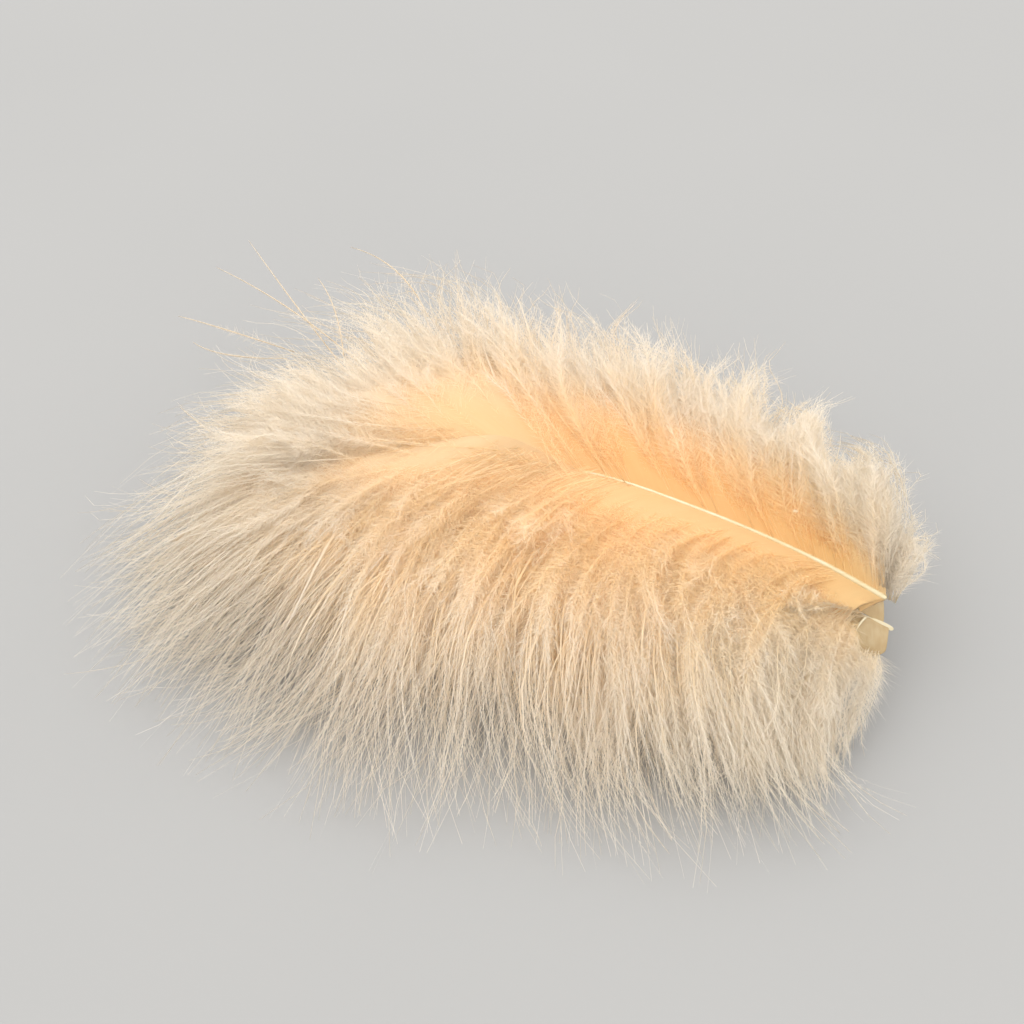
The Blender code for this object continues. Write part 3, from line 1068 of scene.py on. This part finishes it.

# %% [markdown]
# ## The smooth bed by the shaft
# Close to the shaft the barbs lie so flat and tight that they look like satin. Single hairs can't give
# that without hundreds of thousands more, so a thin closed sheet lies there, just above the barbs' roots.
# It dips under the down where the fluff begins. Fine streaks in its bump run the way that the barbs run,
# and its colour is darker where they dip: painted shade in the grooves between the barbs.

# %% Bed
BED_SEED = 18
BED_COLUMNS = 76
BED_ROWS = 20
BED_PLACES = (0.017, 0.998)
BED_THICKNESS = 0.0004
BED_HUMP = 0.0014
BED_SAG = 0.0040
BED_LATER = 0.24
BED_SINK = 0.0042
BED_LOWEST = 0.0012
BED_RIPPLE = 0.00025
EDGE = 0.0008
BED_DIPS = {
    "near": {"proud": 0.0002, "from": 0.06, "to": 0.42, "depth": 0.0011, "reach": 0.50, "start": (0.6, 1.0)},
    "far": {"proud": 0.0003, "from": 0.18, "to": 0.48, "depth": 0.0010, "reach": 0.50, "start": (0.25, 1.0)},
}
BED_MAP = "Tint"
FLOW_MAP = "Flow"


def smooth_noise(rng, shape, passes):
    """Random values from about -1 to 1, smoothed along the rows, so that they run as streaks."""
    values = rng.normal(0, 1, shape)
    for _ in range(passes):
        values = (np.roll(values, 1, axis=1) + values + np.roll(values, -1, axis=1)) / 3
    return values / np.abs(values).max()


def bed_paths(layer, rng):
    """The barbs that the sheet's columns follow, evenly spaced and without any sway."""
    side, dip = SIDES[layer["side"]], BED_DIPS[layer["side"]]
    n = BED_COLUMNS
    bed = tufts_of(layer, 0.0, 1.0, n, rng)
    place = np.linspace(*BED_PLACES, n)
    place[1] = place[0] + EDGE
    share = bed.share = 1 - (1 - place) ** CROWDING
    bed.root, bed.heading = root_at(share), np.radians(along(side["headings"], share))
    bed.start = bed.heading * between(side["start_turn"], share ** 2)
    bed.finish = bed.heading * between(side["end_turn"], share ** 2)
    bed.length = along(side["lengths"], share) * layer["reach"]
    bed.arch_a = first_arch(layer, share)
    bed.arch_b, bed.foot = np.full(n, layer["arch"][1]), np.full(n, layer["foot"])
    bed.wave = bed.hook = bed.lift = bed.tone = bed.from_t = np.zeros(n)
    uneven = 1 + 0.12 * smooth_noise(rng, (1, n), 0)[0]
    bed.reach = dip["reach"] * uneven * between(dip["start"], ease(0.0, 0.13, share))
    bed.reach = bed.reach * (1 + 0.4 * ease(0.70, 0.92, share))
    if side["sign"] < 0:
        by_quill = 1 - ease(0.10, 0.26, share)
        bed.reach = bed.reach * (1 - 0.26 * by_quill)
        bed.arch_a, bed.arch_b = bed.arch_a - BED_SAG * by_quill, bed.arch_b - BED_SAG * by_quill
    return bed


def bed_sheet(layer, rng):
    """One layer's sheet: points, triangles, tints, and its own coordinates across and along the barbs."""
    dip, n = BED_DIPS[layer["side"]], BED_COLUMNS
    bed = bed_paths(layer, rng)
    share = bed.share[:, None]
    s = np.concatenate([[0.0, 5 * EDGE], np.linspace(0.04, 1, BED_ROWS - 2)]) * np.ones((n, 1))
    top, _, t = lines_of(bed, s)
    later = BED_LATER * ease(0.70, 0.92, share)
    low_down = ease(dip["from"] + later, dip["to"] + later, t)
    drop = dip["depth"] * low_down * (1 + 1.6 * ease(0.55, 1.0, s))
    drop -= dip["proud"] * ease(0.0, 0.05, t) * (1 - low_down)
    drop -= BED_HUMP * ease(0.58, 0.74, share) * (1 - t) ** 3
    drop += BED_SINK * ease(0.62, 0.84, share) * ease(0.45, 1.0, s)
    drop += BED_RIPPLE * smooth_noise(rng, (n, BED_ROWS), 6) * ease(0.03, 0.2, s)
    top[:, :, 2] = np.maximum(top[:, :, 2] - drop, BED_LOWEST)
    low = top.copy()
    low[:, :, 2] -= BED_THICKNESS * (0.2 + 0.8 * (1 - ease(0.6, 1.0, s)))
    points = np.concatenate([top.reshape(-1, 3), low.reshape(-1, 3)])
    upper = np.arange(n * BED_ROWS).reshape(n, BED_ROWS)
    under = upper + n * BED_ROWS
    faces = [
        halved(upper[:-1, :-1], upper[:-1, 1:], upper[1:, 1:], upper[1:, :-1]),
        halved(under[:-1, :-1], under[1:, :-1], under[1:, 1:], under[:-1, 1:]),
        halved(upper[:-1, 0], upper[1:, 0], under[1:, 0], under[:-1, 0]),
        halved(upper[1:, -1], upper[:-1, -1], under[:-1, -1], under[1:, -1]),
        halved(upper[0, 1:], upper[0, :-1], under[0, :-1], under[0, 1:]),
        halved(upper[-1, :-1], upper[-1, 1:], under[-1, 1:], under[-1, :-1]),
    ]
    outwards = 1 if SIDES[layer["side"]]["sign"] < 0 else -1
    shade = smooth_noise(rng, (n, BED_ROWS), 8)
    pale = paleness(bed, 0 * s, t) + 0.04 * shade
    tone = toned(bed, rng, 0.0)[:, None] + 0.1 * shade
    tints = np.stack([pale, tone], -1).reshape(-1, 2)
    flow = np.stack([share * np.ones_like(t), t], -1).reshape(-1, 2)
    return points, np.concatenate(faces)[:, ::outwards], np.tile(tints, (2, 1)), np.tile(flow, (2, 1))


# The bed's ramps are the down's colours made darker and deeper: painted shade, for the self-shadowing among
# many hairs that a smooth sheet doesn't get.
BED_PEACH_SHADED = (
    (0.0, (0.89, 0.51, 0.22)),
    (0.3, (0.92, 0.605, 0.33)),
    (0.7, (0.84, 0.64, 0.44)),
    (1.0, (0.78, 0.64, 0.50)),
)
BED_YELLOW_SHADED = (
    (0.0, (0.80, 0.52, 0.215)),
    (0.3, (0.77, 0.55, 0.28)),
    (0.7, (0.78, 0.62, 0.40)),
    (1.0, (0.76, 0.66, 0.50)),
)
STREAKS = (620.0, 7.0, 1.0)
STREAK_GROOVE_SHADE = (0.90, 0.86, 0.80, 1.0)
BED_THROUGH_SHARE = 0.2


def bed_material():
    material, nodes = new_material("flat_barbs")
    colour, pale = dye_colour(nodes, BED_MAP, BED_PEACH_SHADED, BED_YELLOW_SHADED)
    flow = nodes.node("ShaderNodeUVMap", {"uv_map": FLOW_MAP}, {})
    stretched = nodes.node("ShaderNodeMapping", {}, {"Vector": flow, "Scale": STREAKS})
    lines = noise(nodes, stretched, 1.0, 3.0, 0.3)
    mix, multiply = {"data_type": "RGBA"}, {"data_type": "RGBA", "blend_type": "MULTIPLY"}
    # The colour is darker where the streaks' bump dips: painted shade in the grooves between the barbs.
    darker = {0: 1.0, COLOUR_A: colour, COLOUR_B: STREAK_GROOVE_SHADE}
    darker = nodes.node("ShaderNodeMix", multiply, darker, COLOUR_OUT)
    streaked = nodes.node("ShaderNodeMix", mix, {0: lines, COLOUR_A: darker, COLOUR_B: colour}, COLOUR_OUT)
    ridges = nodes.node("ShaderNodeBump", {}, {"Height": lines, "Strength": 0.35, "Distance": 0.0002})
    soft = {"Base Color": streaked, "Roughness": 0.62 + 0.2 * lines, "Normal": ridges, "Sheen Weight": 0.2}
    light_through(nodes, {**soft, "Specular IOR Level": 0.25}, pale, BED_THROUGH_SHARE)
    return material


def add_bed():
    rng = np.random.default_rng(BED_SEED)
    sheets = [bed_sheet(layer, rng) for layer in LAYERS]
    bed = mesh_object("down_bed", *joined([sheet[:3] for sheet in sheets]), BED_MAP)
    points, triangles, flow = joined([(sheet[0], sheet[1], sheet[3]) for sheet in sheets])
    flow = flow[triangles.ravel()].astype(np.float32)
    bed.data.uv_layers.new(name=FLOW_MAP).uv.foreach_set("vector", flow.ravel())
    return bed


total += shown_as_down(add_bed(), bed_material())
print("down in all:", total, "triangles")

# %% [markdown]
# ## The shaft and its quill end
# The shaft is horn: round, a little thinner from ring to ring, and gone from sight where the down closes
# over it. By hand one would extrude a disc step by step along a drawn line, and so does this cell. Each
# step moves the last disc on, turns it to the new direction and resizes it. A subdivision then rounds the
# steps off.


# %% Extrude a disc along a route
def edit_all():
    bpy.ops.object.mode_set(mode="EDIT")
    bpy.ops.mesh.select_all(action="SELECT")


def finish_piece(obj, levels):
    """Points all faces outwards, subdivides, smooths, and puts the object's origin at the world's."""
    edit_all()
    bpy.ops.mesh.normals_make_consistent(inside=False)
    bpy.ops.object.mode_set(mode="OBJECT")
    rounded = obj.modifiers.new("rounded", "SUBSURF")
    rounded.levels = rounded.render_levels = levels
    bpy.ops.object.modifier_apply(modifier=rounded.name)
    bpy.ops.object.transform_apply(location=True, rotation=True, scale=True)
    bpy.ops.object.shade_smooth()
    return obj


def level_angle(step):
    return math.atan2(step.y, step.x)


def swept(name, centres, radii, sides):
    centres = [Vector(centre) for centre in centres]
    clear_selection()
    step = centres[1] - centres[0]
    facing = step.to_track_quat("Z", "Y").to_euler()
    bpy.ops.mesh.primitive_circle_add(
        vertices=sides, radius=radii[0], fill_type="NGON", location=centres[0], rotation=facing
    )
    obj = bpy.context.active_object
    obj.name = name
    edit_all()
    for k in range(1, len(centres)):
        bpy.ops.mesh.extrude_region_move(TRANSFORM_OT_translate={"value": centres[k] - centres[k - 1]})
        after = centres[min(k + 1, len(centres) - 1)] - centres[k - 1]
        turn = level_angle(after) - level_angle(step)
        bpy.ops.transform.rotate(value=-turn, orient_axis="Z", center_override=centres[k])
        bpy.ops.transform.resize(value=(radii[k] / radii[k - 1],) * 3, center_override=centres[k])
        step = after
    return finish_piece(obj, 1)


SHAFT_RADII = (0.00043, 0.00009)
SHAFT_SHOWN = 0.80
SHAFT_RINGS = 30
SHAFT_SIDES = 12

shaft_share = np.concatenate([[0.020, 0.0235], np.linspace(0.030, SHAFT_SHOWN, SHAFT_RINGS)])
shaft_radii = np.array(between(SHAFT_RADII, (shaft_share / SHAFT_SHOWN) ** 0.8))
shaft_radii[:2] *= (0.45, 0.88)
shaft = swept("quill_shaft", along(SHAFT_ROUTE, shaft_share), shaft_radii, SHAFT_SIDES)
print("shaft:", len(shaft.data.polygons), "faces")

# %% [markdown]
# Below the quill's end stands the short stub of the afterfeather, a second small feather that shares the
# same root. Its end is rounded. A thin bent rib runs down from it, and edges the bare hollow in the down.

# %% Stub and rib
STUB_RADIUS = 0.00033
RIB_ROUTE = (
    (0.0500, -0.0185, 0.0107),
    (0.0493, -0.0192, 0.0107),
    (0.0485, -0.0201, 0.0101),
    (0.0479, -0.0212, 0.0092),
    (0.0476, -0.0223, 0.0081),
)
RIB_RADIUS = 0.00022

stub_share = np.array([0.0, 0.02, 0.06, 0.12, 0.25, 0.4, 0.55, 0.7, 0.85, 1.0])
stub_radii = STUB_RADIUS * np.array([0.45, 0.80, 0.98, 1.04, 1.0, 0.94, 0.86, 0.74, 0.58, 0.35])
stub = swept("quill_stub", along(STUB_ROUTE, stub_share), stub_radii, SHAFT_SIDES)
rib_share = np.linspace(0, 1, 12)
rib = swept("quill_rib", along(RIB_ROUTE, rib_share), RIB_RADIUS * (1 - 0.65 * rib_share), 8)
print("stub and rib:", len(stub.data.polygons), len(rib.data.polygons), "faces")

# %% [markdown]
# Horn is smooth and a little glossy, and it is drawn out in fine lines along its length. The lines are
# noise that is stretched along the shaft's direction. They change the colour and the gloss, and raise a
# slight bump.

# %% Horn material
SHAFT_TURN = math.radians(22.4)
HORN = ((0.30, (0.64, 0.49, 0.26)), (0.50, (0.71, 0.60, 0.37)), (0.70, (0.76, 0.68, 0.49)))


def horn_material():
    material, nodes = new_material("horn")
    place = nodes.node("ShaderNodeTexCoord", {}, {}, "Object")
    stretched = {"Vector": place, "Rotation": (0.0, 0.0, SHAFT_TURN), "Scale": (60.0, 2400.0, 2400.0)}
    fine = nodes.node("ShaderNodeMapping", {}, stretched)
    lines = noise(nodes, fine, 1.0, 3.0)
    colour = ramp(nodes, HORN, 0.55 * lines + 0.45 * noise(nodes, place, 220.0, 2.0) + 0.04)
    ridges = nodes.node("ShaderNodeBump", {}, {"Height": lines, "Strength": 0.25, "Distance": 0.00008})
    gloss = {"Base Color": colour, "Roughness": 0.26 + 0.24 * lines, "Normal": ridges}
    solid_surface(nodes, {**gloss, "Coat Weight": 0.25})
    return material


def shown_as_quill(obj, material):
    obj.data.materials.append(material)
    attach(obj, "root")
    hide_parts("marabou_feather")
    return obj


horn = horn_material()
for piece in (shaft, stub, rib):
    shown_as_quill(piece, horn)
print("horn:", len(horn.node_tree.nodes), "nodes")

# %% [markdown]
# Dried skin is stretched between the shaft's end and the stub, and lines the hollow below it. Both are
# thin sheets. Each starts as one edge, cut from a plane, that is extruded row by row between two lines of
# points. A Solidify modifier then gives the sheet a thickness, and a subdivision makes it curve.

# %% Skins
SKIN_THICKNESS = 0.00016
WEB_ROWS = (
    ((0.0523, -0.0169, 0.0125), (0.0524, -0.0193, 0.0100)),
    ((0.0514, -0.0164, 0.0127), (0.0512, -0.0189, 0.0104)),
    ((0.0502, -0.0157, 0.0129), (0.0498, -0.0183, 0.0109)),
    ((0.0486, -0.0147, 0.0132), (0.0480, -0.0178, 0.0115)),
    ((0.0466, -0.0134, 0.0135), (0.0458, -0.0174, 0.0121)),
    ((0.0444, -0.0120, 0.0138), (0.0434, -0.0170, 0.0127)),
)
HOLLOW_ROWS = (
    ((0.0474, -0.0172, 0.0116), (0.0452, -0.0200, 0.0098)),
    ((0.0488, -0.0178, 0.0112), (0.0466, -0.0214, 0.0091)),
    ((0.0500, -0.0184, 0.0108), (0.0480, -0.0224, 0.0082)),
    ((0.0510, -0.0187, 0.0105), (0.0493, -0.0228, 0.0077)),
    ((0.0518, -0.0190, 0.0102), (0.0505, -0.0229, 0.0076)),
    ((0.0526, -0.0193, 0.0099), (0.0516, -0.0227, 0.0078)),
    ((0.0531, -0.0195, 0.0097), (0.0525, -0.0222, 0.0080)),
)


def select_vertices(obj, indices):
    bpy.ops.mesh.select_all(action="DESELECT")
    bpy.ops.object.mode_set(mode="OBJECT")
    for vertex in obj.data.vertices:
        vertex.select = vertex.index in indices
    bpy.ops.object.mode_set(mode="EDIT")


def move_vertex(obj, index, target):
    """Moves one vertex of the mesh in edit mode to a point, by a translation."""
    select_vertices(obj, {index})
    bpy.ops.transform.translate(value=Vector(target) - obj.data.vertices[index].co)


def skin_sheet(name, rows):
    clear_selection()
    bpy.ops.mesh.primitive_plane_add(size=0.001, location=(0.0, 0.0, 0.0))
    obj = bpy.context.active_object
    obj.name = name
    bpy.ops.object.mode_set(mode="EDIT")
    bpy.ops.mesh.select_mode(type="VERT")
    select_vertices(obj, {2, 3})
    bpy.ops.mesh.delete(type="VERT")
    last = (0, 1)
    for index, target in zip(last, rows[0]):
        move_vertex(obj, index, target)
    for row in rows[1:]:
        select_vertices(obj, set(last))
        bpy.ops.mesh.extrude_edges_move(TRANSFORM_OT_translate={"value": (0.0005, 0.0, 0.0)})
        bpy.ops.object.mode_set(mode="OBJECT")
        count = len(obj.data.vertices)
        fresh = [count - 2, count - 1]
        fresh.sort(key=lambda index: (obj.data.vertices[index].co - obj.data.vertices[last[0]].co).length)
        bpy.ops.object.mode_set(mode="EDIT")
        for index, target in zip(fresh, row):
            move_vertex(obj, index, target)
        last = tuple(fresh)
    bpy.ops.mesh.select_all(action="SELECT")
    bpy.ops.mesh.subdivide(number_cuts=1)
    bpy.ops.object.mode_set(mode="OBJECT")
    thick = obj.modifiers.new("thickness", "SOLIDIFY")
    thick.thickness = SKIN_THICKNESS
    thick.offset = 0.0
    bpy.ops.object.modifier_apply(modifier=thick.name)
    return finish_piece(obj, 2)


web = skin_sheet("skin_web", WEB_ROWS)
hollow = skin_sheet("skin_hollow", HOLLOW_ROWS)
print("skins:", len(web.data.polygons), len(hollow.data.polygons), "faces")

# %% [markdown]
# The skin is tan with a green cast, blotched, and finely wrinkled where it dried.

# %% Skin material
SKIN = ((0.30, (0.37, 0.255, 0.13)), (0.50, (0.43, 0.31, 0.165)), (0.70, (0.48, 0.37, 0.22)))


def skin_material():
    material, nodes = new_material("dried_skin")
    place = nodes.node("ShaderNodeTexCoord", {}, {}, "Object")
    blotches = noise(nodes, place, 380.0, 3.0)
    stretched = nodes.node("ShaderNodeMapping", {}, {"Vector": place, "Scale": (2600.0, 500.0, 500.0)})
    wrinkles = noise(nodes, stretched, 1.0, 2.0)
    colour = ramp(nodes, SKIN, 0.7 * blotches + 0.3 * wrinkles)
    bumps = nodes.node("ShaderNodeBump", {}, {"Height": wrinkles, "Strength": 0.3, "Distance": 0.0001})
    matt = {"Base Color": colour, "Roughness": 0.45 + 0.2 * blotches, "Normal": bumps}
    solid_surface(nodes, {**matt, "Specular IOR Level": 0.25})
    return material


skin = skin_material()
for piece in (web, hollow):
    shown_as_quill(piece, skin)
print("skin:", len(skin.node_tree.nodes), "nodes")

# %% [markdown]
# One tiny scale of the sheath that the growing feather came in still sticks in the down, and catches the
# light. A small ball, pressed flat and made uneven, is enough at this size.

# %% Fleck
FLECK_PLACE = (0.0412, -0.0069, 0.0186)
FLECK_RADIUS = 0.00029
WAX = ((0.3, (0.86, 0.80, 0.66)), (0.7, (0.97, 0.95, 0.88)))


def add_fleck():
    clear_selection()
    bpy.ops.mesh.primitive_ico_sphere_add(subdivisions=2, radius=FLECK_RADIUS, location=FLECK_PLACE)
    fleck = bpy.context.active_object
    fleck.name = "sheath_fleck"
    edit_all()
    bpy.ops.transform.resize(value=(1.3, 1.0, 0.6), center_override=FLECK_PLACE)
    bpy.ops.transform.vertex_random(offset=0.00006, seed=4)
    bpy.ops.object.mode_set(mode="OBJECT")
    finish_piece(fleck, 1)
    material, nodes = new_material("sheath_wax")
    place = nodes.node("ShaderNodeTexCoord", {}, {}, "Object")
    grain = noise(nodes, place, 3500.0, 2.0)
    solid_surface(nodes, {"Base Color": ramp(nodes, WAX, grain), "Roughness": 0.2 + 0.2 * grain})
    return shown_as_quill(fleck, material)


print("fleck:", len(add_fleck().data.polygons), "faces")

# %% [markdown]
# ## The end
# The dressed plume may stand out a little from the solid's box, as loose down does.
